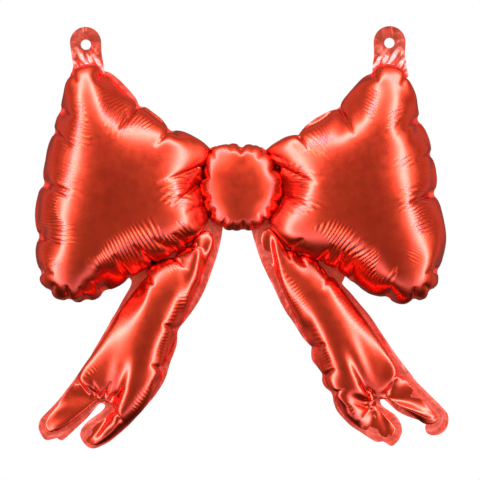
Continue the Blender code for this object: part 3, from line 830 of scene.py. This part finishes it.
EYELET_RADIUS = 4.8
TAB_SIDES = {
    "left": dict(hole=(-147.1, -0.6), top=(-147.4, 16.2), half=14.8,
                 root=((-132.0, -10.0), (-130.5, -20.0), (-132.0, -31.0), (-160.5, -33.0),
                       (-159.0, -22.0), (-160.5, -12.0))),
    "right": dict(hole=(140.6, 1.0), top=(140.8, 17.0), half=15.1,
                  root=((155.5, -12.0), (157.0, -22.0), (156.0, -33.0), (127.0, -31.0),
                        (125.0, -20.0), (126.0, -12.0))),
}


def tab(side):
    """A flat two-ply tab with a round top and a punched hole, crumpled where it leaves the loop."""
    shape = TAB_SIDES[side]
    hole, (cx, top), half = np.array(shape["hole"]), shape["top"], shape["half"]
    turn = np.linspace(math.pi, 0, 23)
    crown = np.c_[cx + half * np.cos(turn), top - half + half * np.sin(turn)]
    ring = rounded([*crown, *shape["root"], crown[0]], 4)[:-1]
    ring = resample(np.vstack([ring, ring[:1]]), round(length(ring) / 1.4))[:-1]
    round_hole = [hole + EYELET_RADIUS * np.array((math.cos(a), -math.sin(a)))
                  for a in np.linspace(0, 2 * math.pi, 32, endpoint=False)]
    points, faces = triangles(ring, TAB_STEP, [np.array(round_hole)])
    mirror = 1 if side == "left" else -1

    def height(p):
        x, z = (p[:, 0] - cx) * mirror, p[:, 1]
        crush = np.clip((2 - z) / 20, 0, 1)
        folds = 2.2 * np.sin(x / 2.3 + z / 9) * np.cos(z / 3.9 + x / 11) * crush
        bow = 0.9 * np.sin(x / 8.0 + 0.8) * np.clip((14 - z) / 20, 0, 1)
        crease = 0.9 * np.exp(-((x + 1.0) / 1.1)**2) * np.clip((z - 5) / 3, 0, 1)
        return folds + bow - crease

    made = []
    for ply, where in (("front", -PLY_APART / 2), ("back", PLY_APART / 2)):
        piece = slab(f"{side}_tab_{ply}", points, faces, lambda p, w=where: height(p) + w, PLY,
                     foil(f"{side}_tab_{ply}_foil", False, TAB_HAZE))
        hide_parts(f"{side}_tab_{ply}_ply")
        made.append(piece)
    return made


# ---- the object -------------------------------------------------------------------------------------


def rim_edge(name):
    """The outer edge of a chamber's weld rim, as (ring, height of its waves), in mm."""
    if name.endswith("tail"):
        return ring_of([LEFT_TAIL_RIM if name == "left_tail" else RIGHT_TAIL_RIM]), 0.42
    lobes = [LEFT_LOOP_FLANGE, *LEFT_LOOP[1:]] if name == "left_loop" else OUTLINES[name]
    edge = smoothed(resample_ring(ring_of(lobes), 1.5), 3)
    if name == "knot":
        # The knot's rim reaches under the loops, so that no light shows between the films.
        beside = np.minimum(*(nearest(edge, ring_of(OUTLINES[loop]))[1] for loop in TOUCHING["knot"]))
        edge = edge + outward(edge) * np.where(beside < KNOT_BESIDE, KNOT_REACH, 0.0)[:, None]
    return edge, 0.25


def hang_on(part, name):
    """Hangs the knot's film or rim on the knot's body; the other chambers' films and rims stay fixed
    where they are.
    """
    if name == "knot":
        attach(part, "knot")
    elif name.endswith("loop"):
        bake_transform(part)
    else:
        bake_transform(part)


for name in OUTLINES:
    film = chamber(name)
    edge, wave = rim_edge(name)
    for part in (film, rim(name, edge, wave)):
        hang_on(part, name)

for side in TAB_SIDES:
    for ply in tab(side):
        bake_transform(ply)

for node in ("valve_front_film", "valve_back_film"):
    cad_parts[node].data.materials.clear()
    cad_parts[node].data.materials.append(clear_film(node + "_clear"))

# ---- floor, light and camera --------------------------------------------------------------------------

FLOOR = -0.62


def make_floor():
    mesh = bpy.data.meshes.new("floor")
    mesh.from_pydata([(-1.8, -1.8, FLOOR), (1.8, -1.8, FLOOR), (1.8, 1.8, FLOOR), (-1.8, 1.8, FLOOR)],
                     [], [(0, 1, 2, 3)])
    floor = bpy.data.objects.new("floor", mesh)
    bpy.context.scene.collection.objects.link(floor)
    paper = Nodes("floor_paper")
    place = paper.add("ShaderNodeTexCoord").outputs["Object"]
    paper.link(paper.colours(paper.noise(place, 3.0), (0.3, (0.86, 0.86, 0.86)), (0.7, (0.9, 0.9, 0.9))),
               paper.shader.inputs["Base Color"])
    paper.shader.inputs["Roughness"].default_value = 0.9
    mesh.materials.append(paper.material)
    floor.visible_glossy = False    # the film mirrors the tent's dim lower half instead


def make_light():
    """A light tent round the object, by direction: dim and warm behind the viewer and beyond the
    object, with a bright cool band round the sides, and darker towards the floor."""
    world = bpy.data.worlds.new("tent")
    bpy.context.scene.world = world
    world.use_nodes = True
    tree = world.node_tree
    tree.nodes.clear()

    def add(kind, **values):
        node = tree.nodes.new(kind)
        for key, value in values.items():
            setattr(node, key, value)
        return node

    split = add("ShaderNodeSeparateXYZ")
    tree.links.new(add("ShaderNodeTexCoord").outputs["Generated"], split.inputs[0])
    front = add("ShaderNodeMapRange")
    front.inputs[1].default_value, front.inputs[2].default_value = -1.0, 1.0
    tree.links.new(split.outputs["Y"], front.inputs[0])
    ring = add("ShaderNodeValToRGB")
    warm, cool = (1.04, 0.85, 0.60), (0.9, 1.05, 1.5)
    stops = ((0.0, 0.080, warm), (0.03, 0.095, warm), (0.09, 0.125, warm), (0.15, 0.21, warm),
             (0.205, 1.25, cool), (0.235, 3.3, cool), (0.285, 3.3, cool), (0.325, 0.22, warm),
             (0.60, 0.08, warm), (0.71, 0.20, warm), (0.79, 0.20, warm), (0.90, 0.085, warm),
             (1.0, 0.080, warm))
    while len(ring.color_ramp.elements) < len(stops):
        ring.color_ramp.elements.new(0.5)
    for element, (at, level, tint) in zip(ring.color_ramp.elements, stops):
        element.position = at
        element.color = (*(level * part for part in tint), 1)
    tree.links.new(front.outputs[0], ring.inputs[0])
    above = add("ShaderNodeMapRange", interpolation_type="SMOOTHSTEP")
    for socket, number in zip(list(above.inputs)[1:5], (-0.85, -0.3, 0.12, 1.0)):
        socket.default_value = number
    tree.links.new(split.outputs["Z"], above.inputs[0])
    level = add("ShaderNodeVectorMath", operation="SCALE")
    tree.links.new(ring.outputs["Color"], level.inputs[0])
    tree.links.new(above.outputs[0], level.inputs["Scale"])
    tent = add("ShaderNodeBackground")
    tent.inputs["Strength"].default_value = 3.6
    tree.links.new(level.outputs[0], tent.inputs["Color"])
    white = add("ShaderNodeBackground")
    white.inputs["Color"].default_value = (1, 1, 1, 1)
    seen = add("ShaderNodeMixShader")
    tree.links.new(add("ShaderNodeLightPath").outputs["Is Camera Ray"], seen.inputs[0])
    tree.links.new(tent.outputs[0], seen.inputs[1])
    tree.links.new(white.outputs[0], seen.inputs[2])
    tree.links.new(seen.outputs[0], add("ShaderNodeOutputWorld").inputs["Surface"])


def make_camera():
    """A long lens straight in front. The picture is 455 mm square at the plane of the weld."""
    camera = bpy.data.objects.new("camera", bpy.data.cameras.new("camera"))
    bpy.context.scene.collection.objects.link(camera)
    distance, field = 2.4, 0.455
    camera.data.sensor_width = 36.0
    camera.data.lens = 36.0 * distance / field
    camera.location = (-0.001, -distance, -0.1858)
    camera.rotation_euler = (math.pi / 2, 0, 0)
    bpy.context.scene.camera = camera


make_floor()
make_light()
make_camera()
bpy.context.scene.view_settings.view_transform = "Standard"
